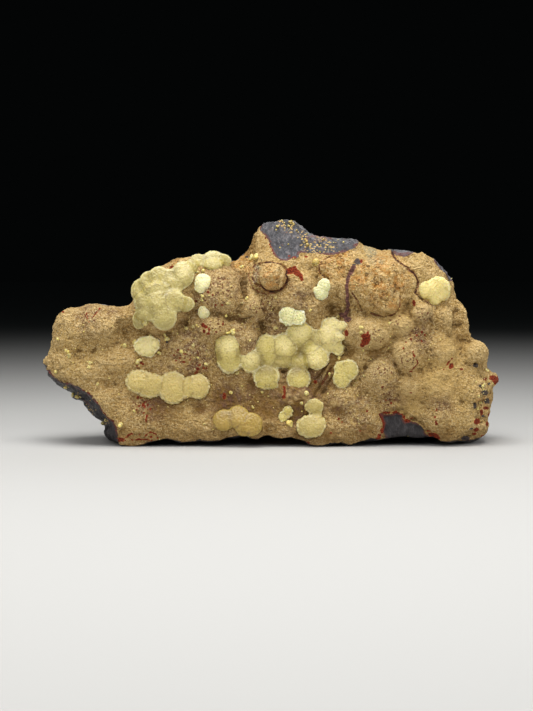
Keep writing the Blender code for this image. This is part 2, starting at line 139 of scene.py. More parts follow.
# Thin rust-coloured lines with no depth: the line and its half width in millimetres
RUST_LINES = (
    (((117, 438), (124, 439), (130, 434), (138, 433), (143, 438), (150, 432), (156, 433), (158, 440)), 0.055),
    (((119, 441), (130, 440), (140, 439), (150, 440), (158, 441)), 0.06),
    (((48, 371), (57, 380), (62, 383), (70, 383), (77, 386), (84, 391), (92, 395), (96, 401), (100, 406),
      (103, 412), (108, 418), (114, 421), (116, 428), (117, 436)), 0.07),
    (((412, 352), (415, 357), (418, 363), (415, 367), (411, 371)), 0.08),
    (((444, 369), (448, 363), (452, 358)), 0.1),
    (((437, 408), (436, 415), (436, 422)), 0.08),
    (((380, 414), (384, 424), (383, 431), (379, 438), (373, 444)), 0.16),
    (((381, 413), (396, 412), (402, 415)), 0.1),
    (((86, 312), (87, 317), (89, 322)), 0.05),
    (((82, 320), (85, 317), (87, 313)), 0.04),
    (((93, 317), (98, 311), (100, 308)), 0.05),
    (((262, 232), (266, 239), (271, 247), (274, 254)), 0.06),
    (((240, 443), (258, 441)), 0.1),
)
# Blotches of red iron oxide: place, half width and half height in pixels
BLOTCHES = (
    (290, 271, 3.6, 3), (294, 269.5, 2.8, 3.4), (297, 273, 3.4, 3), (300.5, 276, 2.2, 2.8), (302, 279.5, 1.4, 1.8),
    (364, 336.5, 3.2, 2.4), (367.5, 338, 3, 4.4), (365, 342, 4, 3), (362, 345, 2, 2.2), (368, 333, 1.2, 2),
    (346.6, 333, 1.8, 3.2), (414, 303, 1.4, 3.2), (224, 396, 1.7, 3), (284.5, 392, 1.2, 4), (284, 397, 1.8, 1.8),
    (284, 387, 1.2, 1), (315, 382, 1.8, 1.7), (323, 381, 0.8, 1), (203, 325, 1.8, 1.8), (206, 327, 2, 1.4),
    (209, 330, 1.1, 2.4), (204, 331, 1.3, 2), (208, 334, 2, 1), (216, 332, 1.1, 1.1), (223, 324, 1.1, 1.6),
    (220, 327, 0.9, 0.9), (451, 366, 2.2, 2.6), (461.5, 369, 1.9, 0.9), (403.5, 348, 1, 1), (406, 342, 0.9, 0.9),
    (417, 335, 1.1, 1), (422, 332, 1.1, 1.4), (425, 335, 0.9, 1.3), (421.5, 341, 0.8, 1.1), (411, 339, 1.4, 0.8),
    (413, 352, 0.9, 0.9), (411, 371, 1.6, 0.9), (382.5, 387, 1.2, 0.9), (493, 378, 3.4, 2.6), (495, 382, 2.4, 2.4),
    (486, 408, 3, 1.5), (481.5, 412, 1.5, 3), (477, 421.5, 2.8, 3), (476.5, 429.5, 2.5, 2), (474.5, 433.5, 2, 1.5),
    (338, 419, 1.6, 1), (331, 433, 1.1, 1.2), (307, 443, 3, 1), (382, 431, 1.7, 2.6), (379, 437, 1.6, 3.4),
    (375, 442, 2, 2), (433, 435, 4.5, 2.4), (437, 438, 3, 2), (428, 431, 2.4, 0.8), (407, 421, 3.2, 1.7),
    (404, 417, 1.1, 1.8), (411, 418, 2, 0.8), (395, 413, 3, 0.8), (121, 439, 2.6, 1.3), (151, 437, 1.2, 1.2),
    (485, 379, 1.8, 1.6), (489, 415, 1.2, 2), (487, 424, 1, 2.4), (483, 436, 2, 1), (141, 362, 1.4, 1.7), (143, 364, 1, 1), (137, 366, 1, 0.9), (435, 417, 1, 1),
    (437, 424, 1.6, 0.8), (70, 384, 2.4, 0.9), (138, 397, 1.1, 1.3), (143, 405, 1.4, 2.2), (145, 402, 1.2, 1),
    (136, 402, 0.8, 0.8), (148, 405, 0.7, 1.6), (137, 410, 0.8, 0.8), (148, 410, 0.8, 0.7), (146, 420, 1.1, 2.4),
    (183, 352, 1.3, 1.3), (185, 354, 1, 1), (174, 355, 1, 0.9), (184, 362, 1.6, 1.1), (180, 362, 0.9, 0.8),
    (198, 369, 1.6, 1.6), (197, 372, 1.2, 1), (204, 368, 1, 0.9), (206, 368, 0.9, 1), (196, 301, 1.2, 1.2),
    (213, 295, 1, 1.2), (208, 292, 1, 1.4), (222, 305, 1.2, 1), (216, 305, 0.9, 1), (367, 411, 1, 1.4),
    (289, 256, 1.4, 1.4), (294, 257.5, 2.6, 1.2), (306, 256.5, 1.6, 0.9), (361.5, 261, 1.2, 2), (498, 379, 2, 3),
    (141, 398, 1.2, 1), (145, 407, 1, 1.5), (139, 406, 0.9, 0.9), (150, 409, 1, 1.2), (144, 413, 1, 1),
    (147, 416, 0.8, 1.6), (142, 394, 1.4, 1), (178, 350, 0.9, 0.8), (188, 350, 0.9, 0.9), (180, 358, 1, 0.8),
    (190, 360, 0.9, 0.9), (200, 365, 1, 0.8), (195, 373, 1, 0.8), (176, 361, 0.9, 0.8), (360, 431, 1, 1), (342, 422, 1, 1), (63, 312, 1.6, 0.9), (391, 403, 1, 1.1), (386, 400, 1, 0.7),
    (411, 393, 1.4, 0.8), (439, 393, 1.2, 0.7), (172, 268, 2, 2.4), (176, 265, 1.4, 1.2),
)
# Dark spots: manganese stains, and painted shade at a few holes and pits, such as the hole in the crest group
# and the pit at the foot of the vein: place, half width and half height in pixels
DARK_SPOTS = (
    (485, 392.5, 4, 3), (487, 401, 3.8, 3.2), (475, 405.5, 1.8, 3.2), (483, 416, 1.8, 1.6), (475.5, 365.3, 3.2, 2.4),
    (471.5, 430, 2.4, 2.2), (489, 384, 2, 1.6), (480, 386, 1.6, 1.4), (247, 257, 2.4, 1.4), (167, 342, 1.4, 1.3), (466, 438, 5, 2.6), (357.5, 261.5, 3.4, 3.6),
    (354, 266, 2, 3), (351, 271, 1.8, 2.6), (346, 318, 3, 1.6), (166.6, 295, 1.4, 1.6),
)
# Where fine red-brown dots are dense, where the crust is mauve, where it is coarse and ochre, and where it
# is grey-green: place and radius in pixels
DOTTED = (
    (222, 290, 17), (212, 300, 12), (186, 355, 17), (199, 363, 12), (143, 404, 14), (91, 315, 9),
    (270, 303, 12), (418, 336, 11), (408, 360, 10), (384, 374, 12), (424, 315, 8), (388, 400, 11),
    (257, 308, 10), (140, 363, 8), (218, 326, 11), (330, 352, 8), (378, 335, 9), (395, 320, 9), (240, 325, 9),
)
MAUVE = (
    (90, 314, 22), (112, 310, 12),
    (218, 290, 30), (190, 350, 42), (268, 322, 30), (418, 338, 20), (384, 376, 22), (250, 345, 26),
    (300, 300, 22), (424, 314, 11), (300, 395, 40), (230, 400, 34), (150, 405, 22), (350, 405, 26),
    (316, 380, 14), (390, 400, 16), (345, 315, 8), (390, 428, 18), (300, 425, 24), (440, 408, 14), (360, 420, 14),
)
OCHRE = (
    (273, 277, 13), (328, 267, 13), (342, 258, 12), (383, 284, 28), (366, 272, 12), (398, 270, 14), (376, 292, 14), (486, 408, 8), (480, 424, 7),
    (243, 264, 9), (180, 262, 10), (172, 266, 8), (350, 250, 8), (484, 390, 9),
)
# Where the crust is a darker brown: partly its own umber tone, partly painted shade under the groups, in hollows and
# along the bottom edge: place and radius in pixels
UMBER_AND_SHADE = (
    (331, 310, 5), (262, 311, 6), (330, 382, 10), (352, 355, 9), (300, 432, 13), (330, 436, 12), (366, 433, 12),
    (420, 434, 12), (446, 434, 12), (163, 407, 26), (262, 428, 14), (196, 384, 24), (262, 436, 12), (375, 350, 12),
    (262, 408, 32), (300, 400, 38), (225, 400, 24), (336, 410, 10), (330, 365, 20), (200, 408, 10),
    (250, 244, 18), (243, 256, 12), (236, 262, 9), (310, 372, 16), (252, 385, 12), (388, 272, 9), (366, 291, 7), (390, 307, 12),
    (377, 301, 7), (270, 282, 9),
)
# Where orange iron oxide shows between the grains
ORANGE = (
    (332, 268, 15), (341, 258, 11), (383, 267, 17), (359, 281, 13), (380, 292, 15), (398, 282, 13), (273, 277, 17),
    (243, 262, 12), (174, 265, 10), (484, 400, 9), (392, 302, 10), (360, 268, 10),
)
# Where the crust is smoother
SMOOTH = ((440, 378, 42), (455, 345, 26), (400, 325, 30), (300, 405, 34), (410, 400, 26), (230, 405, 26))
GREY_SHELLS = ((256, 275, 4), (257, 268, 3), (255, 281, 3), (360, 262, 3))
# Where pale flecks lie on the goethite
FLECKED = (
    (302, 236, 7), (307, 246, 9), (318, 249, 11), (290, 226, 9), (331, 246, 8), (322, 242, 9), (66, 387, 4),
    (77, 396, 5), (106, 422, 4), (92, 411, 5), (282, 222, 6),
)
GREEN = ((371, 253, 8), (373, 260, 7), (379, 262, 6), (367, 248, 5), (258, 268, 5), (256, 277, 4))

# The austinite: the lobes of each group, as place and half width and half height in the picture, with how far a
# lobe stands over the others, in millimetres, where it does
LOBES = {
    "crest_group": (
        (140, 291, 9, 12), (149, 282, 9.5, 11), (159, 277, 10.5, 10.5), (170, 280, 10, 11), (183, 275, 11.5, 13.5, 0.1),
        (176, 284, 11, 8), (198, 262, 8.5, 8.5, -0.1), (213.5, 261.5, 11.5, 10, 0.2), (222, 261.5, 9.5, 7.5, 0.1),
        (213.5, 266, 9.5, 6.5, 0.1),
        (207, 263, 7, 7.5), (146, 302, 12, 11, -0.1), (158, 301, 11, 11, -0.1), (146, 312, 11, 9.5, -0.2),
        (160, 308, 11, 9, -0.1), (164, 317, 12.5, 13.5, 0.1), (174, 301.5, 12, 11, -0.1), (184, 304, 10.5, 7.8),
        (139, 320, 6.5, 9.5, -0.1), (155, 291, 12, 9), (191, 267, 7, 8),
    ),
    "crest_pearl": ((203, 282.5, 8.4, 9), (201, 287, 6.5, 6.5)),
    "shoulder_pearl": ((204, 312, 6.2, 7.3),),
    "left_rosette": ((147, 346, 12.5, 10), (139.5, 346.5, 5.5, 5), (154.5, 344, 5.6, 6), (149, 352.5, 6, 4.6)),
    "left_row": (
        (139, 381.5, 13, 12), (150, 385, 15, 12.5), (173, 387.5, 14.5, 16.5), (198, 386.5, 11.5, 12.5),
        (189, 387, 9, 11),
    ),
    "centre_group": (
        (228, 348.5, 12.6, 15, 0.1), (229.5, 359, 12.6, 14.5), (228.6, 354, 12.7, 12, 0.08), (219, 343, 4, 6), (250.5, 360.5, 11, 12, -0.1),
        (267, 348, 12.5, 13.8), (269, 358, 11, 9), (284, 347.5, 14.5, 14.5, 0.3), (300, 335, 14.8, 14.5, 0.1),
        (316.5, 358, 12.4, 12, 0.3), (310, 347, 10, 11, 0.1), (266.5, 377, 13, 12.2, -0.4), (298.5, 378.5, 12.2, 12.5, -0.4),
        (299, 362, 13, 10, -0.1), (283, 361, 14, 7.5), (317, 338, 8, 9, -0.1), (331, 325.5, 10.5, 7.5, 0.1),
        (341, 326.5, 7, 5.2, 0.2), (326, 336, 8.6, 10.5, 0.1), (333, 334, 7, 9), (338.5, 337, 6.8, 4.6, 0.2),
        (330, 345, 8.4, 8), (337.5, 348.5, 6.4, 6.6, 0.2), (262, 384, 6, 5, -0.3), (273, 385, 5, 4.6, -0.3),
    ),
    "pale_pair": ((288, 315, 8.9, 9.6, 0.3), (297.5, 317, 7.8, 8, 0.25)),
    "upper_pair": ((324.5, 285.5, 7, 7.3), (321.3, 292.5, 7.6, 7.8), (315.5, 290.5, 3.6, 3.8)),
    "right_pair": ((348.5, 370, 10, 10.5), (342, 378, 8.8, 10.5), (341, 369, 7, 8)),
    "right_disc": (
        (436, 288, 14, 13.4, 0.55), (426.3, 290, 9.5, 9.5, 0.3), (434, 296.5, 9, 9, 0.4),
        (441.5, 293, 8.5, 9, 0.3),
    ),
    "foot_group": ((224, 420.5, 11, 11), (238, 417.5, 11.5, 12), (251, 424.5, 11.3, 12), (245, 427, 10, 9.5)),
    "foot_pip": ((288, 411, 4.6, 6), (283, 417, 4.8, 5.6)),
    "foot_pair": ((314, 406, 9.5, 7.2), (317, 415, 5, 6), (311, 426.5, 14.5, 11.3), (318, 424, 8, 8)),
}
# The paler parts of the groups, and the parts that are darker olive, which is painted shade where a lobe lies in
# the shadow of others: place and radius in pixels
PALE_PARTS = ((334, 334, 20), (300, 332, 9), (284, 346, 8), (250, 358, 9), (228, 346, 9), (316, 360, 8), (184, 270, 8))
OLIVE_PARTS = (
    (133, 302, 12), (299, 353, 8), (254, 350, 6), (308, 370, 7), (285, 366, 9),
    (139, 322, 8), (299, 350, 7), (280, 362, 8), (268, 371, 9), (316, 337, 7), (298, 368, 9), (165, 294, 3),
    (262, 362, 6), (264, 369, 8), (297, 370, 8),
)
LOBE_THICKNESS = 0.46
LOBE_STANDOFF = 0.16
LOBE_FLATNESS = 2.6
MOST_SIZE = 2.1
# Groups whose outer rims aren't scalloped, and groups whose lobes run into one another more
SMOOTH_GROUPS = ("crest_group", "crest_pearl", "shoulder_pearl", "upper_pair", "right_disc", "foot_group")
SOFT_BLENDS = {"crest_group": 0.4, "right_disc": 0.3, "centre_group": 0.24}
LOBE_BLEND = 0.14
# Grains of austinite loose on the crust: place in the picture and radius in millimetres
GRAINS = (
    (147, 323, 0.48), (121, 424, 0.41), (288.5, 424, 0.48), (67, 351, 0.29), (69.5, 356, 0.32), (91, 363, 0.30),
    (89, 367, 0.23), (88, 362, 0.18), (56, 371, 0.28), (123.5, 346, 0.34), (134, 342, 0.37), (167, 339, 0.37),
    (165, 335, 0.23), (159.5, 353, 0.32), (193, 346, 0.30), (181, 351, 0.32), (198, 358, 0.21), (202.5, 296, 0.30),
    (202, 300, 0.23), (197, 272, 0.23), (203, 271, 0.28), (231, 392, 0.30), (237, 373, 0.28), (206, 364, 0.23),
    (307, 393.5, 0.37), (302, 403, 0.28), (316.5, 263.5, 0.57), (256, 257, 0.55), (252, 258, 0.41),
    (241, 268, 0.34), (247.5, 299, 0.30), (242.5, 303, 0.18), (137, 362, 0.39), (140, 360, 0.25), (187, 328, 0.30),
    (194, 327, 0.28), (142, 394, 0.30), (144, 394, 0.21), (232, 331, 0.41), (228, 333, 0.28), (275, 328, 0.28),
    (277, 328, 0.18), (240, 315, 0.18), (226, 315, 0.23), (228, 303, 0.23), (58, 339, 0.23), (193, 345, 0.23),
    (181, 340, 0.18), (150, 335, 0.21), (103, 350, 0.16), (134, 411, 0.21), (87, 391, 0.18), (97, 384, 0.23),
    (204, 424, 0.18), (339, 358, 0.28), (364, 376, 0.21), (328, 394, 0.18), (330, 374, 0.23), (390, 323, 0.25),
    (361, 327, 0.28), (361, 332, 0.25), (363, 350, 0.18), (486, 371, 0.30), (484, 384, 0.30), (482, 386, 0.23),
    (479, 396, 0.18), (480, 402, 0.25), (478, 408, 0.21), (253, 407, 0.23), (262, 392, 0.21), (242, 386, 0.18),
    (276, 297, 0.21), (270, 303, 0.18), (250, 340, 0.18), (310, 310, 0.23), (338, 317, 0.34), (104, 422, 0.34),
    (106, 420, 0.23), (66, 387, 0.25), (77, 396, 0.30), (74, 395, 0.30), (80, 397, 0.21), (218, 427, 0.16),
    (277, 227, 0.23), (276, 230, 0.17), (282, 221, 0.19), (291, 222, 0.31), (293, 224, 0.23), (289, 226, 0.20),
    (296, 231, 0.20), (298, 232, 0.14), (306.5, 234, 0.19), (306, 241, 0.28), (307, 245, 0.28), (304, 243, 0.19),
    (310, 248, 0.16), (323, 240, 0.19), (321, 246, 0.16), (329, 242, 0.17), (330, 247, 0.23), (326, 245, 0.16),
    (334, 243, 0.14), (325, 250, 0.14), (314, 242, 0.11), (317, 237, 0.11), (338, 240, 0.12), (286, 226, 0.11),
    (299, 226, 0.10), (300, 236, 0.11), (305, 250, 0.12),
)
# Where smaller grains are sown at random: place, radius in pixels and how many
SOWN = (
    (200, 345, 45, 46), (80, 350, 38, 26), (250, 320, 40, 28), (320, 245, 24, 26), (290, 225, 14, 14),
    (484, 390, 14, 26), (340, 375, 40, 26), (390, 320, 40, 20), (160, 400, 50, 24), (250, 400, 40, 22),
    (370, 400, 50, 22), (430, 330, 40, 18), (90, 400, 14, 12),
)

# Each group's own tint of austinite
TINTS = {
    "crest_group": "crest", "crest_pearl": "pearl", "shoulder_pearl": "pearl", "left_rosette": "cream",
    "left_row": "amber", "centre_group": "green", "pale_pair": "frosted", "upper_pair": "mist",
    "right_pair": "green", "right_disc": "lemon", "foot_group": "umber", "foot_pip": "green",
    "foot_pair": "straw",
}


def linear(colour):
    """An sRGB colour such as "B0905A" as linear red, green, blue and alpha."""
    parts = [int(colour[i : i + 2], 16) / 255 for i in (0, 2, 4)]
    return (*(c / 12.92 if c <= 0.04045 else ((c + 0.055) / 1.055) ** 2.4 for c in parts), 1.0)


# Seeing


def to_picture(points):
    """The places in the picture of points in millimetres."""
    rel = points - np.array(EYE)
    level, sink = np.cos(PITCH), np.sin(PITCH)
    depth = rel[:, 1] * level - rel[:, 2] * sink
    rise = rel[:, 1] * sink + rel[:, 2] * level
    across = PICTURE[0] / 2 + FOCAL_PX * rel[:, 0] / depth
    down = PICTURE[1] / 2 - FOCAL_PX * rise / depth
    return np.stack((across, down), axis=1)


def sight_of(u, v):
    """The direction in which the eye looks at (u, v) in the picture."""
    sight = Vector(((u - PICTURE[0] / 2) / FOCAL_PX, 1.0, (PICTURE[1] / 2 - v) / FOCAL_PX))
    sight.rotate(Matrix.Rotation(-PITCH, 3, "X"))
    return sight.normalized()


def seen_at(tree, u, v):
    """The point of a surface that shows at (u, v) in the picture, and its normal."""
    point, normal, _, _ = tree.ray_cast(EYE, sight_of(u, v))
    return point, normal


def line_distance(places, line):
    """Each place's distance to a line of points, in pixels."""
    found = np.full(len(places), 1e9)
    for start, end in zip(np.array(line[:-1], float), np.array(line[1:], float)):
        along = end - start
        share = np.clip((places - start) @ along / (along @ along), 0, 1)
        found = np.minimum(found, np.linalg.norm(places - start - share[:, None] * along, axis=1))
    return found


def outside_distance(places, outline):
    """Each place's distance to a closed outline, in pixels, below zero inside it."""
    closed = np.array(outline + outline[:1], float)
    inside = np.zeros(len(places), bool)
    for (ua, va), (ub, vb) in zip(closed[:-1], closed[1:]):
        spans = (va > places[:, 1]) != (vb > places[:, 1])
        if va != vb:
            inside ^= spans & (places[:, 0] < ua + (places[:, 1] - va) * (ub - ua) / (vb - va))
    return np.where(inside, -1, 1) * line_distance(places, closed)


def zone(places, spots):
    """1 in the middle of the nearest round zone, falling to 0 at its rim."""
    found = np.zeros(len(places))
    for u, v, radius in spots:
        away = np.hypot(places[:, 0] - u, places[:, 1] - v) / radius
        found = np.maximum(found, np.clip(1.3 - away, 0, 1))
    return found


# Shaping


def ramp(values, low, high):
    """0 at low and 1 at high, with soft ends."""
    share = np.clip((values - low) / (high - low), 0, 1)
    return share * share * (3 - 2 * share)


def waves(points, size, shift=0.0):
    """Smooth noise from -1 to 1 whose swells are about size millimetres across."""
    return np.array([noise.noise(p) for p in (points / size + shift).tolist()])


def buds(points, size, shift=0.0):
    """Rounded beads about size millimetres across: 1 on top of a bead, 0 between beads."""
    near = np.array([noise.voronoi(p)[0][0] for p in (points / size + shift).tolist()])
    return np.clip(1 - (near / 0.62) ** 2, 0, 1)


def ridges(points, size, shift=0.0):
    """Sharp-crested noise from 0 to 1."""
    return 1 - np.abs(waves(points, size, shift))


def points_of(mesh):
    flat = np.empty(3 * len(mesh.vertices))
    mesh.vertices.foreach_get("co", flat)
    return flat.reshape(-1, 3)


def normals_of(mesh):
    flat = np.empty(3 * len(mesh.vertices), np.float32)
    mesh.vertex_normals.foreach_get("vector", flat)
    return flat.reshape(-1, 3).astype(float)


def move_points(mesh, points):
    mesh.vertices.foreach_set("co", points.ravel())
    mesh.update()


def averaged(mesh, values, rounds):
    """Values on a mesh's points, each replaced by the mean of its neighbours' a few times over."""
    ends = np.empty(2 * len(mesh.edges), int)
    mesh.edges.foreach_get("vertices", ends)
    a, b = ends.reshape(-1, 2).T
    count = np.bincount(a, minlength=len(values)) + np.bincount(b, minlength=len(values))
    values = np.array(values, float).reshape(len(values), -1)
    for _ in range(rounds):
        sums = [
            np.bincount(a, column[b], len(values)) + np.bincount(b, column[a], len(values))
            for column in values.T
        ]
        values = np.stack(sums, axis=1) / count[:, None]
    return values


def bulge(mesh, rounds):
    """How far each point stands out of its surroundings, in millimetres: below zero in a hollow."""
    points = points_of(mesh)
    around = averaged(mesh, points, rounds)
    return ((points - around) * normals_of(mesh)).sum(axis=1)


def shaped(mesh, *modifiers):
    """The mesh after a stack of modifiers, each a type and its settings."""
    holder = bpy.data.objects.new("holder", mesh)
    bpy.context.scene.collection.objects.link(holder)
    for kind, settings in modifiers:
        modifier = holder.modifiers.new(kind.title(), kind)
        for name, value in settings.items():
            setattr(modifier, name, value)
    graph = bpy.context.evaluated_depsgraph_get()
    made = bpy.data.meshes.new_from_object(holder.evaluated_get(graph))
    bpy.data.objects.remove(holder)
    return made


def solid_of(node):
    """A merged copy of a node of the frame, as a bmesh in millimetres."""
    bm = bmesh.new()
    bm.from_mesh(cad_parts[node].data)
    bmesh.ops.remove_doubles(bm, verts=bm.verts, dist=1e-6)
    bmesh.ops.scale(bm, vec=(1 / MM,) * 3, verts=bm.verts)
    return bm


def mesh_of(bm, name):
    mesh = bpy.data.meshes.new(name)
    bm.to_mesh(mesh)
    bm.free()
    return mesh


def surface(mesh):
    bm = bmesh.new()
    bm.from_mesh(mesh)
    tree = BVHTree.FromBMesh(bm)
    bm.free()
    return tree


def note(mesh, **values):
    """Keeps values of each point on the mesh for its material to read."""
    for name, value in values.items():
        kept = mesh.attributes.new(name, "FLOAT", "POINT")
        kept.data.foreach_set("value", np.asarray(value, np.float32))


def show(mesh, name, node, material):
    """Brings a finished mesh to metres and lets it stand for a node of the frame, if it has one."""
    mesh.transform(Matrix.Scale(MM, 4))
    mesh.shade_smooth()
    mesh.materials.clear()
    mesh.materials.append(material)
    piece = bpy.data.objects.new(name, mesh)
    bpy.context.scene.collection.objects.link(piece)
    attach(piece, "root")
    if node:
        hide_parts(node)
    return piece


# The stone


def crust_depth(points, normals, places):
    """How far each point is inside the crust's edge, in millimetres, below zero on a broken face."""
    wander = 1.3 * waves(points, 1.7) + 0.8 * waves(points, 0.6, 7.0)
    wander += 22 * waves(points, 5.0, 17.0) * ramp(points[:, 1], -6.0, 2.0)
    depth = np.full(len(points), 3.0)
    for outline in BROKEN.values():
        depth = np.minimum(depth, (outside_distance(places, outline) + wander) / PX_PER_MM)
    for u, v, wide, high in ISLANDS:
        away = np.hypot((places[:, 0] - u) / wide, (places[:, 1] - v) / high) + 0.25 * wander
        depth = np.maximum(depth, (1 - away) * high / PX_PER_MM)
    back = CRUST_END_Y - points[:, 1] + 3.2 * waves(points, 8.0, 3.0) + 1.4 * waves(points, 2.4, 9.0)
    under = 5 * (normals[:, 2] + 0.62) + 0.6 * points[:, 2]
    return np.minimum(depth, np.minimum(back, under))


def seam_share(points, places):
    """How near each point is to a seam, 1 on its middle and 0 beyond its sides, and the seam's depth there."""
    wander = 0.7 * waves(points, 0.9, 11.0) + 0.4 * waves(points, 0.4, 5.0)
    share, groove = np.zeros(len(points)), np.zeros(len(points))
    for line, half_width, depth, stain_and_shade in SEAMS:
        away = np.abs(line_distance(places, line) + wander) / PX_PER_MM
        near = stain_and_shade * np.clip(1.6 - away / half_width, 0, 1)
        share = np.maximum(share, near)
        groove = np.maximum(groove, depth * np.clip(1.0 - away / (2.2 * half_width), 0, 1))
    return share, groove


def spot_share(points, places, spots, wander_px=0.8):
    """1 on ragged spots, falling to 0 at their edges."""
    wander = wander_px * waves(points, 0.45, 15.0)
    share = np.zeros(len(points))
    for u, v, wide, high in spots:
        away = np.hypot((places[:, 0] - u) / wide, (places[:, 1] - v) / high)
        share = np.maximum(share, np.clip(1.5 - away + 0.5 * wander, 0, 1))
    return share


def vein_share(points, places):
    """How near each point is to the vein, 1 on its middle and 0 beyond its sides, and how far it stands out."""
    wander = 1.6 * waves(points, 0.8, 21.0)
    share, height = np.zeros(len(points)), np.zeros(len(points))
    for line, half_width, rise in VEIN:
        away = np.abs(line_distance(places, line) + wander) / PX_PER_MM / half_width
        near = np.clip(1.6 - away, 0, 1)
        share, height = np.maximum(share, near), np.maximum(height, rise * near)
    return share, height


def rust_share(points, places):
    share = spot_share(points, places, BLOTCHES)
    wander = waves(points, 0.7, 15.0)
    for line, half_width in RUST_LINES:
        away = np.abs(line_distance(places, line) + 1.3 * wander) / PX_PER_MM
        share = np.maximum(share, np.clip(1.5 - away / half_width, 0, 1))
    return share


def facing_eye(points, normals):
    """1 where a surface faces the picture, 0 where it is turned away or lies at the back."""
    towards = np.array(EYE) - points
    towards /= np.linalg.norm(towards, axis=1)[:, None]
    return ramp((normals * towards).sum(axis=1), -0.05, 0.1) * (1 - ramp(points[:, 1], 5.0, 9.0))


def shift_outline(mesh):
    points = points_of(mesh)
    places = to_picture(points)
    for u, v, reach, across, up in SHIFTS:
        share = 1 - ramp(np.hypot(places[:, 0] - u, places[:, 1] - v), 0.3 * reach, 1.3 * reach)
        points[:, 0] += share * across
        points[:, 2] += share * up
    move_points(mesh, points)


def carve_stone(mesh):
    """Relief of the crust and the breaks: knobs, beads, wrinkles, seams and splinters."""
    points, normals = points_of(mesh), normals_of(mesh)
    places = to_picture(points)
    front = facing_eye(points, normals)
    depth = crust_depth(points, normals, places)
    crust = ramp(depth, -0.15, 0.25)
    coarse = zone(places, OCHRE) * front
    _, groove = seam_share(points, places)

    knobs, hollows = np.zeros(len(points)), np.zeros(len(points))
    sway = 3.0 * waves(points, 2.0, 13.0)
    for u, v, radius, height in KNOBS:
        away = np.hypot(places[:, 0] - u + sway, places[:, 1] - v - sway) / radius
        if height > 0:
            knobs = np.maximum(knobs, 0.95 * height * np.clip(1 - away * away / 1.5, 0, 1))
        else:
            hollows += height * np.clip(1 - away * away / 1.4, 0, 1) ** 1.5
    for u, v, radius, height in SWELLS:
        away = np.hypot(places[:, 0] - u, places[:, 1] - v) / radius
        hollows += height * np.clip(1 - away * away, 0, 1) ** 1.5
    for u, v, wide, high, height in NODULES:
        away = np.hypot((places[:, 0] - u + 0.3 * sway) / wide, (places[:, 1] - v) / high)
        knobs = np.maximum(knobs, height * ramp(-away, -1.06, -0.8) * (1.15 - 0.3 * np.minimum(away, 1) ** 2))
    knobs += hollows
    _, vein = vein_share(points, places)
    swell = 0.24 * waves(points, 4.2) + 0.16 * waves(points, 1.9, 5.0)
    beads = 0.14 * buds(points, 1.2) + 0.1 * buds(points, 0.6, 4.0) + 0.09 * waves(points, 0.4, 6.0)
    wrinkles = 0.22 * ridges(points, 1.7, 2.0) * (0.4 + 0.6 * ramp(-points[:, 0], 8, 22))
    rough = 0.15 * waves(points, 1.1, 9.0) + 0.3 * waves(points, 0.42, 2.0)
    beside = (1 - front) * (0.7 * ridges(points, 6.0, 8.0) + 0.3 * ridges(points, 2.4) - 0.9)
    skin = (knobs + vein) * front + swell + beads + wrinkles + coarse * rough + beside - groove * front - 0.27

    leaf = points @ np.array(((0.8, 0.0, 0.3), (0.0, 1.0, 0.0), (-0.3, 0.0, 0.55)))
    splinter = 0.5 * ridges(leaf, 3.6) + 0.26 * ridges(leaf, 1.3, 6.0) + 0.14 * waves(points, 0.55, 8.0)
    behind = ramp(points[:, 1], 3.0, 7.0)
    splinter += behind * (1.1 * ridges(leaf, 9.0, 3.0) + 0.5 * ridges(points, 4.0, 1.0) - 1.5)
    broken = splinter - 0.55 - 0.15 * ramp(-depth, 0.0, 0.4)

    lift = crust * skin + (1 - crust) * broken
    above = ramp(points[:, 2], 0.0, 1.2)
    lift = np.where(lift < 0, lift * above, np.minimum(lift, 0.6 * points[:, 2]))
    points = points + normals * lift[:, None]
    points[:, 2] = np.maximum(points[:, 2], 0.0)
    move_points(mesh, points)


def mark_stone(mesh):
    """Keeps on each point what the material needs to know about the place."""
    points, normals = points_of(mesh), normals_of(mesh)
    places = to_picture(points)
    front = facing_eye(points, normals)
    seam, _ = seam_share(points, places)
    vein, _ = vein_share(points, places)
    wide, fine = bulge(mesh, 45), bulge(mesh, 5)
    note(
        mesh,
        crust=crust_depth(points, normals, places),
        seam=seam * front,
        vein=vein * front,
        rust=rust_share(points, places) * front,
        dark=spot_share(points, places, DARK_SPOTS) * front,
        dots=zone(places, DOTTED) * front,
        mauve=zone(places, MAUVE) * front,
        ochre=zone(places, OCHRE) * front,
        green=zone(places, GREEN) * front,
        # umber: the darker brown zones, partly painted shade
        umber=zone(places, UMBER_AND_SHADE) * front,
        orange=zone(places, ORANGE) * front,
        smooth=zone(places, SMOOTH) * front,
        grey=zone(places, GREY_SHELLS) * front,
        flecks=zone(places, FLECKED) * front,
        wide_bulge=wide / wide.std(),
        fine_bulge=fine / fine.std(),
        height=points[:, 2],
        behind=ramp(points[:, 1], 1.0, 5.0),
    )


def thinned(mesh, count):
    """The mesh with its back and underside made coarser, until it has the given number of triangles."""
    points, normals = points_of(mesh), normals_of(mesh)
    hidden = np.maximum(ramp(points[:, 1], 1.0, 3.0), ramp(-normals[:, 2], 0.7, 0.9))
    holder = bpy.data.objects.new("holder", mesh)
    group = holder.vertex_groups.new(name="hidden")
    for share in (0.25, 0.5, 0.75, 1.0):
        chosen = np.flatnonzero((hidden > share - 0.25) & (hidden <= share))
        group.add(chosen.tolist(), share, "REPLACE")
    bpy.context.scene.collection.objects.link(holder)
    mesh.calc_loop_triangles()
    modifier = holder.modifiers.new("Thin", "DECIMATE")
    modifier.ratio = min(1.0, count / len(mesh.loop_triangles))
    modifier.vertex_group = "hidden"
    graph = bpy.context.evaluated_depsgraph_get()
    made = bpy.data.meshes.new_from_object(holder.evaluated_get(graph))
    bpy.data.objects.remove(holder)
    points = points_of(made)
    points[:, 2] = np.maximum(points[:, 2], 0.0)
    move_points(made, points)
    return made


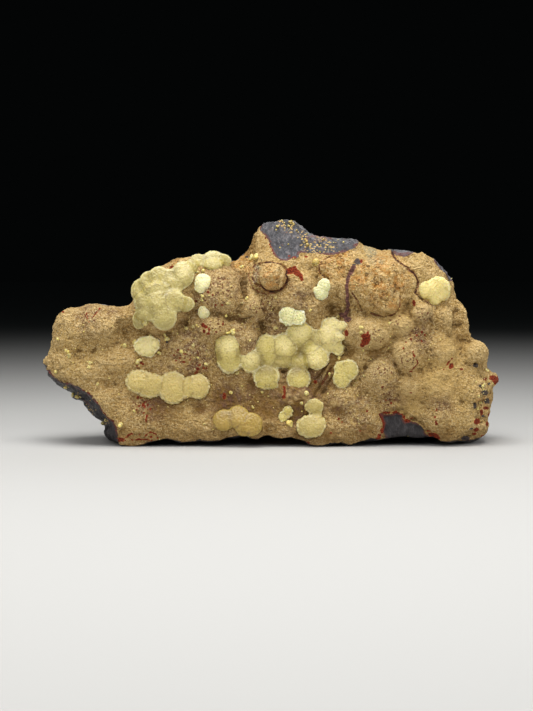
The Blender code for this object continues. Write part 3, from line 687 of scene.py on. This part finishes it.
def make_stone():
    mesh = mesh_of(solid_of("matrix"), "stone")
    mesh = shaped(
        mesh,
        ("REMESH", {"mode": "VOXEL", "voxel_size": STONE_VOXEL}),
        ("SMOOTH", {"iterations": 20, "factor": 0.6}),
    )
    shift_outline(mesh)
    carve_stone(mesh)
    mark_stone(mesh)
    return thinned(mesh, STONE_TRIANGLES)


# The austinite


def add_lobe(bm, stone, u, v, half_width, half_height, lift=0.0):
    """A pad that stands on the stone and shows in the picture at its place, with its size."""
    foot, normal = seen_at(stone, u, v)
    if foot is None:
        foot, normal, _, _ = stone.find_nearest(EYE + sight_of(u, v) * 292)
    outward = (0.6 * normal - sight_of(u, v)).normalized()
    across = (Vector((1, 0, 0)) - outward * outward.x).normalized()
    turn = Matrix((across, outward.cross(across), outward)).transposed().to_4x4()
    size = min(0.5 * (half_width + half_height) / PX_PER_MM, MOST_SIZE)
    radii = (half_width / PX_PER_MM, half_height / PX_PER_MM, LOBE_THICKNESS * size)
    middle = EYE + sight_of(u, v) * (foot - EYE).length + outward * (size * LOBE_STANDOFF + lift)
    place = Matrix.Translation(middle) @ turn @ Matrix.Diagonal((*radii, 1.0))
    ball = bmesh.ops.create_icosphere(bm, subdivisions=4, radius=1.0)
    for vert in ball["verts"]:
        across = vert.co.xy.length
        fullness = (across**LOBE_FLATNESS + abs(vert.co.z) ** LOBE_FLATNESS) ** (-1 / LOBE_FLATNESS)
        vert.co = place @ (vert.co * fullness)


def lobe_shares(points, lobes):
    """Where each point lies on its own lobe: near the rim, near the crease with the next lobe, or on the dome."""
    places = to_picture(points)
    away = [np.hypot((places[:, 0] - lobe[0]) / lobe[2], (places[:, 1] - lobe[1]) / lobe[3]) for lobe in lobes]
    away = np.sort(np.array(away + [np.full(len(points), 9.0)] * 2), axis=0)
    rim = ramp(away[0], 0.7, 1.0) * ramp(away[2] - away[0], 0.1, 0.4)
    crease = (1 - ramp(away[1] - away[0], 0.0, 0.25)) * ramp(away[0], 0.4, 0.7) * (1 - rim)
    return rim, crease, 1 - ramp(away[0], 0.1, 0.7)


def make_group(node, stone):
    bm = bmesh.new()
    for lobe in LOBES[node]:
        add_lobe(bm, stone, *lobe)
    merge = ("REMESH", {"mode": "VOXEL", "voxel_size": GROUP_VOXEL})
    mesh = shaped(mesh_of(bm, node + "_crystals"), merge, ("SMOOTH", {"iterations": 2}))
    blend = SOFT_BLENDS.get(node, LOBE_BLEND)
    move_points(mesh, points_of(mesh) + blend * normals_of(mesh))
    mesh = shaped(mesh, merge, ("SMOOTH", {"iterations": 8 if node in SOFT_BLENDS else 4}))
    points, normals = points_of(mesh), normals_of(mesh)
    rim, _, _ = lobe_shares(points, LOBES[node])
    scallops = rim * (0.17 * buds(points, 0.7, 2.0) + 0.08 * buds(points, 0.4, 9.0))
    if node in SMOOTH_GROUPS:
        scallops *= 0.25
    relief = 0.06 * waves(points, 1.2) + 0.04 * waves(points, 0.5, 4.0) + 0.05 * buds(points, 0.36, 3.0)
    points += normals * (relief + scallops - 0.04 - blend)[:, None]
    move_points(mesh, points)
    places = to_picture(points)
    rim, crease, dome = lobe_shares(points, LOBES[node])
    pale, olive = zone(places, PALE_PARTS), zone(places, OLIVE_PARTS)
    note(mesh, rim=rim, crease=crease, dome=dome, pale=pale, olive=olive)
    return mesh


def grain_places():
    """The places and radii of all loose grains: those listed and those sown at random."""
    chance = random.Random(7)
    places = list(GRAINS)
    for u, v, spread, count in SOWN:
        for _ in range(count):
            across, down = chance.gauss(u, 0.55 * spread), chance.gauss(v, 0.55 * spread)
            places.append((across, down, chance.uniform(0.07, 0.17)))
    return places


def make_grains(stone):
    """Loose grains on the crust, each a small bead with an uneven form, joined in one mesh."""
    chance = random.Random(11)
    bm = bmesh.new()
    for u, v, radius in grain_places():
        point, normal = seen_at(stone, u, v)
        if point is None or point.z < 0.4:
            continue
        for _ in range(3 if radius > 0.17 else 1):
            stray = Vector([chance.uniform(-0.55, 0.55) for _ in range(3)])
            turn = (normal + stray).normalized().to_track_quat("Z", "Y").to_matrix().to_4x4()
            radii = [radius * chance.uniform(0.6, 1.05) for _ in range(3)]
            place = Matrix.Translation(point + radius * (stray + 0.35 * normal)) @ turn
            bmesh.ops.create_icosphere(
                bm, subdivisions=2 if radius > 0.2 else 1, radius=1.0, matrix=place @ Matrix.Diagonal((*radii, 1.0))
            )
    mesh = mesh_of(bm, "grains")
    note(mesh, olive=zone(to_picture(points_of(mesh)), ((305, 238, 36), (90, 408, 26))))
    return mesh


# Materials


def add(tree, kind, inputs=(), **settings):
    """Adds a node with its settings, and sets or links each of its inputs."""
    made = tree.nodes.new(kind)
    for name, value in settings.items():
        setattr(made, name, value)
    for socket, value in dict(inputs).items():
        if isinstance(value, bpy.types.NodeSocket):
            tree.links.new(value, made.inputs[socket])
        else:
            made.inputs[socket].default_value = value
    return made


def new_material(name):
    material = bpy.data.materials.new(name)
    material.use_nodes = True
    tree = material.node_tree
    shader = tree.nodes["Principled BSDF"]
    where = add(tree, "ShaderNodeTexCoord").outputs["Object"]
    return material, tree, shader, where


def per(size):
    """The scale of a pattern whose features are size millimetres across."""
    return 1 / (size * MM)


def kept(tree, name):
    """A value that the mesh keeps on its points."""
    return add(tree, "ShaderNodeAttribute", attribute_name=name).outputs["Fac"]


def grown(tree, value, low, high):
    """0 at low and 1 at high of a value, with soft ends."""
    limits = {"Value": value, "From Min": low, "From Max": high}
    return add(tree, "ShaderNodeMapRange", limits, interpolation_type="SMOOTHSTEP").outputs[0]


def combined(tree, operation, first, second):
    return add(tree, "ShaderNodeMath", {0: first, 1: second}, operation=operation).outputs[0]


def coated(tree, ground, coats):
    """Colours laid over one another, each with the mask that says where it covers."""
    for mask, colour in coats:
        over = linear(colour) if isinstance(colour, str) else colour
        under = linear(ground) if isinstance(ground, str) else ground
        ground = add(tree, "ShaderNodeMix", {0: mask, 6: under, 7: over}, data_type="RGBA").outputs[2]
    return ground


def speckle(tree, where, size, detail=2.0, rough=0.5):
    settings = {"Vector": where, "Scale": per(size), "Detail": detail, "Roughness": rough}
    return add(tree, "ShaderNodeTexNoise", settings).outputs["Fac"]


def cells(tree, where, size, feature="F1"):
    settings = {"Vector": where, "Scale": per(size)}
    return add(tree, "ShaderNodeTexVoronoi", settings, feature=feature).outputs["Distance"]


def limonite():
    """Limonite crust on massive goethite.

    The crust is dull and earthy, a tan powder over fine beads. Its colour is painted darker in hollows, in crevices,
    under the groups and near the floor, which is painted shade, and lighter on its swells, a painted highlight.
    Where it has broken away the goethite shows blue-grey, painted lighter higher up, which is partly painted light,
    with a splintery sheen that is partly painted into its colour as pale streaks, and rust at its rim.
    """
    material, tree, shader, where = new_material("limonite_on_goethite")
    broad = speckle(tree, where, 7.0)
    patches = speckle(tree, where, 2.6, 3.0)
    mottle = speckle(tree, where, 0.9, 4.0, 0.65)
    grit = speckle(tree, where, 0.4, 3.0, 0.65)
    fine_grit = speckle(tree, where, 0.21, 2.0, 0.6)
    slant = add(tree, "ShaderNodeMapping", {"Vector": where, "Rotation": (0, 0.45, 0), "Scale": (1, 1, 2.2)})
    ripples = speckle(tree, slant.outputs[0], 1.1, 3.0, 0.55)
    pores = cells(tree, where, 0.5)
    dot_cells = cells(tree, where, 0.55)
    wide, fine = kept(tree, "wide_bulge"), kept(tree, "fine_bulge")

    def times(first, second):
        return combined(tree, "MULTIPLY", first, second)

    def plus(first, second):
        return combined(tree, "ADD", first, second)

    coarse = grown(tree, plus(kept(tree, "ochre"), times(patches, 0.6)), 0.5, 0.75)
    mauve = times(kept(tree, "mauve"), grown(tree, plus(mottle, times(patches, 0.4)), 0.55, 0.85))
    orange_grains = grown(tree, speckle(tree, where, 1.1, 6.0, 0.9), 0.48, 0.54)
    orange = times(grown(tree, kept(tree, "orange"), 0.0, 0.9), orange_grains)
    cream = times(coarse, grown(tree, speckle(tree, where, 0.6, 5.0, 0.85), 0.51, 0.56))
    brown = times(coarse, grown(tree, speckle(tree, where, 1.3, 5.0, 0.8), 0.46, 0.38))
    even = times(grown(tree, kept(tree, "umber"), 1.4, 0.1), grown(tree, kept(tree, "smooth"), 1.8, 0.0))
    dots = plus(kept(tree, "dots"), times(speckle(tree, where, 1.6), 0.7))
    dots = times(grown(tree, dots, 0.7, 1.0), grown(tree, plus(dot_cells, times(fine_grit, 0.7)), 0.72, 0.6))
    rust = plus(kept(tree, "rust"), times(grit, 0.6))
    dark = plus(kept(tree, "dark"), times(grit, 0.6))
    seam = plus(kept(tree, "seam"), times(grit, 0.4))
    vein = plus(kept(tree, "vein"), times(grit, 0.5))

    crust = coated(tree, "BE9B5D", (
        (grown(tree, broad, 0.35, 0.7), "C8A664"),
        (grown(tree, patches, 0.5, 0.75), "AB8C55"),
        # darker brown: partly the crust's own umber tone, partly painted shade under the groups, in hollows and along
        # the bottom edge
        (grown(tree, kept(tree, "umber"), 0.0, 1.1), "7E5C25"),
        (mauve, "6E4D3B"),
        (coarse, "C39B54"),
        (times(grown(tree, kept(tree, "grey"), 0.3, 0.8), 0.8), "9E9685"),
        (times(grown(tree, times(kept(tree, "green"), plus(mottle, 0.5)), 0.35, 0.8), grown(tree, grit, 0.62, 0.42)), "8E9076"),
        # painted highlight: lighter on the broad swells of the crust
        (times(grown(tree, wide, 0.3, 2.4), 0.6), "D2B378"),
        # painted shade: darker in the broad hollows of the crust
        (times(grown(tree, wide, -0.3, -2.8), 0.6), "80602C"),
        (times(times(grown(tree, ripples, 0.46, 0.34), 0.5), even), "7C5C2C"),
        (times(times(grown(tree, ripples, 0.54, 0.66), 0.4), even), "D1B47E"),
        (times(times(grown(tree, grit, 0.5, 0.34), 0.5), even), "7C5C2C"),
        (times(times(grown(tree, grit, 0.5, 0.64), 0.6), even), "D1B47E"),
        (times(times(grown(tree, fine_grit, 0.46, 0.34), 0.55), even), "7C5C2C"),
        (times(times(grown(tree, fine_grit, 0.54, 0.68), 0.75), even), "E0CA9E"),
        # painted shade: darker in the lowest few millimetres, next to the floor
        (times(grown(tree, kept(tree, "height"), 4.5, 0.5), 0.5), "7C5A2E"),
        # painted shade: darker in the small crevices of the crust
        (times(grown(tree, fine, -0.8, -2.8), 0.7), "60441C"),
        (times(cream, 0.75), "EECF96"),
        (times(orange, 0.65), "B87628"),
        (times(brown, 0.85), "5C4220"),
        (times(dots, 0.8), "66301F"),
        # dark spots: manganese stains, and painted shade at a few holes and pits
        (times(grown(tree, dark, 0.8, 1.0), 0.9), "38353C"),
        (grown(tree, rust, 0.64, 0.8), "963B19"),
        (times(grown(tree, rust, 0.75, 1.0), grown(tree, fine_grit, 0.57, 0.42)), "5C1C0B"),
        # seams: the stain of the dark cracks, and a little painted shade in the broad shallow grooves
        (times(grown(tree, seam, 0.55, 0.75), 0.6), "84442E"),
        (grown(tree, seam, 0.8, 1.2), "3E261E"),
        (grown(tree, vein, 0.55, 0.75), "7C5246"),
        (times(times(grown(tree, vein, 0.75, 0.95), grown(tree, grit, 0.56, 0.42)), 0.75), "46302C"),
    ))

    leaf = add(tree, "ShaderNodeMapping", {"Vector": where, "Rotation": (0.2, 0.35, 0.3), "Scale": (2.6, 1.4, 1)})
    flakes = speckle(tree, leaf.outputs[0], 1.6, 5.0, 0.65)
    high = grown(tree, kept(tree, "height"), 14.0, 26.0)
    behind, stains = kept(tree, "behind"), speckle(tree, where, 12.0)
    pale_flecks = times(grown(tree, kept(tree, "flecks"), 0.3, 0.8), grown(tree, plus(mottle, dot_cells), 0.88, 0.76))
    goethite = coated(tree, "292527", (
        # partly painted light: the goethite is painted lighter higher up, where the light from above falls on it
        (high, "424144"),
        # painted sheen: pale streaks along the splinters, stronger higher up
        (times(grown(tree, flakes, 0.5, 0.64), plus(times(high, 0.6), 0.15)), "787374"),
        (times(grown(tree, flakes, 0.47, 0.33), 0.8), "1C1819"),
        # painted shade: darker in the small crevices of the goethite
        (times(grown(tree, fine, -1.0, -3.0), 0.7), "181314"),
        (times(high, grown(tree, mottle, 0.6, 0.7)), "6A4E44"),
        (times(pale_flecks, 0.9), "D2AE6C"),
        (times(behind, grown(tree, broad, 0.52, 0.66)), "54402C"),
        (times(behind, times(grown(tree, patches, 0.56, 0.66), grown(tree, stains, 0.5, 0.62))), "8A6738"),
        (times(behind, times(grown(tree, mottle, 0.56, 0.66), 0.35)), "7A7476"),
    ))
    depth = plus(kept(tree, "crust"), times(grit, 0.3))
    on_crust = grown(tree, depth, 0.12, 0.2)
    rim = times(grown(tree, depth, -0.3, 0.05), grown(tree, patches, 0.4, 0.55))
    colour = coated(tree, goethite, ((times(rim, 0.8), "6A3020"), (grown(tree, rust, 0.8, 0.95), "7A2A16"), (on_crust, crust)))

    grain = plus(plus(times(grit, 0.8), times(pores, -0.5)), plus(times(fine_grit, 0.45), times(ripples, 1.2)))
    height = add(tree, "ShaderNodeMix", {0: on_crust, 2: flakes, 3: grain}).outputs[0]
    bump = add(tree, "ShaderNodeBump", {"Height": height, "Strength": 1.0, "Distance": 0.55 * MM})
    rough = add(tree, "ShaderNodeMapRange", {"Value": on_crust, "To Min": 0.5, "To Max": 0.85}).outputs[0]
    sheen = add(tree, "ShaderNodeMapRange", {"Value": on_crust, "To Min": 0.45, "To Max": 0.25}).outputs[0]
    tree.links.new(colour, shader.inputs["Base Color"])
    tree.links.new(bump.outputs[0], shader.inputs["Normal"])
    tree.links.new(rough, shader.inputs["Roughness"])
    tree.links.new(sheen, shader.inputs["Specular IOR Level"])
    return material


# The body, the darker olive of the creases and shaded parts (painted shade, also used for mottling), and the outer
# rims of each tint of austinite
AUSTINITE = {
    "green": ("C3B15C", "897428", "CFC497"),
    "crest": ("B2A259", "91803D", "CBC18C"),
    "cream": ("DED08D", "B6A357", "E8DEB2"),
    "amber": ("C4AD5F", "9D8436", "CBBB86"),
    "pearl": ("E6DDA5", "BDB174", "E8E2B6"),
    "mist": ("D8D59D", "B4B070", "EAE8C2"),
    "frosted": ("E8E2A4", "A29E5F", "EDEDCC"),
    "lemon": ("E1CE80", "B9A149", "E3D59A"),
    "umber": ("A48629", "86692A", "AE9446"),
    "straw": ("B4A055", "988136", "C9BB83"),
    "gold": ("EAD076", "B08C38", "F8EDB2"),
}


# How deep the grain of the crystal tips is, in millimetres, where it isn't the common one
GRAIN = {"green": 0.12, "frosted": 0.22, "pearl": 0.14, "mist": 0.14, "amber": 0.13, "crest": 0.1}
COMMON_GRAIN = 0.09


def austinite(tint):
    """Austinite: translucent needles in tight sprays. Light goes a little way in, and a bead is yellow-green in its
    body.
    The creases between beads and the lobes in the shadow of others are painted a darker olive, which is painted
    shade, the tops of the domes are painted lighter, a painted highlight, and its rim of crystal tips looks frosted
    and pale."""
    body, olive_and_shade, tips = AUSTINITE[tint]
    grain = GRAIN.get(tint, COMMON_GRAIN)
    material, tree, shader, where = new_material("austinite_" + tint)
    cloud = speckle(tree, where, 2.2)
    frost = speckle(tree, where, 0.26, 3.0, 0.6)
    facets = cells(tree, where, 0.34)
    dome_highlight = tuple(min(1.0, 1.18 * part) for part in linear(body))
    rim = combined(tree, "ADD", kept(tree, "rim"), combined(tree, "MULTIPLY", frost, 0.5))
    colour = coated(tree, body, (
        (combined(tree, "MULTIPLY", grown(tree, cloud, 0.45, 0.75), 0.4), olive_and_shade),
        # painted shade: a darker olive in the creases between lobes
        (combined(tree, "MULTIPLY", grown(tree, kept(tree, "crease"), 0.1, 0.8), 0.65), olive_and_shade),
        # darker olive parts, partly painted shade where a lobe lies in the shadow of others
        (combined(tree, "MULTIPLY", kept(tree, "olive"), 0.8), olive_and_shade),
        # painted highlight: lighter on the tops of the domes
        (combined(tree, "MULTIPLY", kept(tree, "dome"), 0.5), dome_highlight),
        (combined(tree, "MULTIPLY", kept(tree, "pale"), 0.6), "EFDF9E"),
        (combined(tree, "MULTIPLY", grown(tree, rim, 0.65, 1.0), 0.75), tips),
        (combined(tree, "MULTIPLY", grown(tree, frost, 0.54, 0.7), 0.45), tips),
        (combined(tree, "MULTIPLY", grown(tree, frost, 0.47, 0.34), min(0.9, 4 * grain)), olive_and_shade),
    ))
    height = combined(tree, "ADD", frost, combined(tree, "MULTIPLY", facets, -0.8))
    bump = add(tree, "ShaderNodeBump", {"Height": height, "Strength": 0.7, "Distance": grain * MM})
    tree.links.new(colour, shader.inputs["Base Color"])
    tree.links.new(bump.outputs[0], shader.inputs["Normal"])
    shader.inputs["Roughness"].default_value = 0.45
    shader.inputs["IOR"].default_value = 1.76
    shader.inputs["Subsurface Weight"].default_value = 0.5
    shader.inputs["Subsurface Radius"].default_value = (1.0, 0.8, 0.3)
    shader.inputs["Subsurface Scale"].default_value = 0.9 * MM
    return material


# The stage

# How far the floor stays light, in millimetres, and how steeply it falls off
FLOOR_REACH = 278.0
FLOOR_FALL = 2.2
# The dark beyond the lamps' reach, on the floor and behind it
DARKNESS = "040505"


def floor_material():
    """Matt pale card under soft light. Its colour is painted darker away from the stone, a painted fall-off of the
    light, and its far part glows faintly in the colour of the dark beyond, a painted glow.
    """
    material, tree, shader, where = new_material("pale_card")
    centre = add(tree, "ShaderNodeMapping", {"Vector": where, "Location": (0, 100 * MM, 0)}).outputs[0]
    away = add(tree, "ShaderNodeVectorMath", {0: centre}, operation="LENGTH").outputs["Value"]
    fall = combined(tree, "POWER", combined(tree, "DIVIDE", away, FLOOR_REACH * MM), FLOOR_FALL)
    near = combined(tree, "EXPONENT", combined(tree, "MULTIPLY", fall, -1.0), 0.0)
    # painted fall-off of the light: the card's colour darkens away from the stone
    colour = coated(tree, "0E1010", ((near, "BCBBB8"),))
    # painted glow: the far card glows faintly in the colour of the dark beyond
    shader.inputs["Emission Color"].default_value = linear(DARKNESS)
    far = add(tree, "ShaderNodeMapRange", {"Value": near, "To Min": 1.0, "To Max": 0.0}).outputs[0]
    tree.links.new(far, shader.inputs["Emission Strength"])
    tree.links.new(colour, shader.inputs["Base Color"])
    shader.inputs["Roughness"].default_value = 0.9
    shader.inputs["Specular IOR Level"].default_value = 0.05
    return material


def make_floor():
    bm = bmesh.new()
    bmesh.ops.create_circle(bm, cap_ends=True, segments=64, radius=1.5)
    floor = bpy.data.objects.new("floor", mesh_of(bm, "floor"))
    floor.data.materials.append(floor_material())
    bpy.context.scene.collection.objects.link(floor)


def add_lamp(name, place, size, watts, colour="FFFFFF"):
    """A soft box that shines on the stone. Its place and size are in millimetres."""
    lamp = bpy.data.lights.new(name, "AREA")
    lamp.shape = "RECTANGLE"
    lamp.size, lamp.size_y = (side * MM for side in size)
    lamp.energy = watts
    lamp.color = linear(colour)[:3]
    holder = bpy.data.objects.new(name, lamp)
    holder.location = Vector(place) * MM
    holder.rotation_euler = (Vector((0, 0, 14)) - Vector(place)).to_track_quat("-Z", "Y").to_euler()
    bpy.context.scene.collection.objects.link(holder)


def light_stage():
    world = bpy.data.worlds.new("dark_studio")
    world.use_nodes = True
    world.node_tree.nodes["Background"].inputs["Color"].default_value = linear(DARKNESS)
    bpy.context.scene.world = world
    add_lamp("overhead", (-20, -70, 340), (320, 240), 1.72)
    add_lamp("front", (-40, -400, 230), (260, 200), 0.74)
    add_lamp("right", (270, -140, 130), (160, 200), 0.35)
    add_lamp("left", (-290, -160, 120), (160, 200), 0.2)
    add_lamp("behind", (60, 330, 190), (240, 160), 0.3)


def set_camera():
    camera = bpy.data.objects.new("camera", bpy.data.cameras.new("camera"))
    camera.data.lens = LENS
    camera.data.sensor_width = SENSOR
    camera.data.clip_start = 0.01
    camera.location = EYE * MM
    camera.rotation_euler = (radians(90) - PITCH, 0, 0)
    bpy.context.scene.collection.objects.link(camera)
    bpy.context.scene.camera = camera


def main():
    bpy.context.scene.view_settings.view_transform = "Standard"
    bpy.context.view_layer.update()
    set_camera()
    light_stage()
    make_floor()
    stone = make_stone()
    tree = surface(stone)
    tints = {tint: austinite(tint) for tint in AUSTINITE}
    for node, tint in TINTS.items():
        show(make_group(node, tree), node + "_crystals", node, tints[tint])
    show(make_grains(tree), "loose_grains", None, tints["gold"])
    show(stone, "limonite_stone", "matrix", limonite())


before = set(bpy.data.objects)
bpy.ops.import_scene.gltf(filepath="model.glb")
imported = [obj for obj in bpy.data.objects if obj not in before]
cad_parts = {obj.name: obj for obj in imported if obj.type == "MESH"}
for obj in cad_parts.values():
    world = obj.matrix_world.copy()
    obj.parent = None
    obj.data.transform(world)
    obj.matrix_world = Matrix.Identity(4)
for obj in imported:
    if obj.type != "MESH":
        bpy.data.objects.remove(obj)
main()
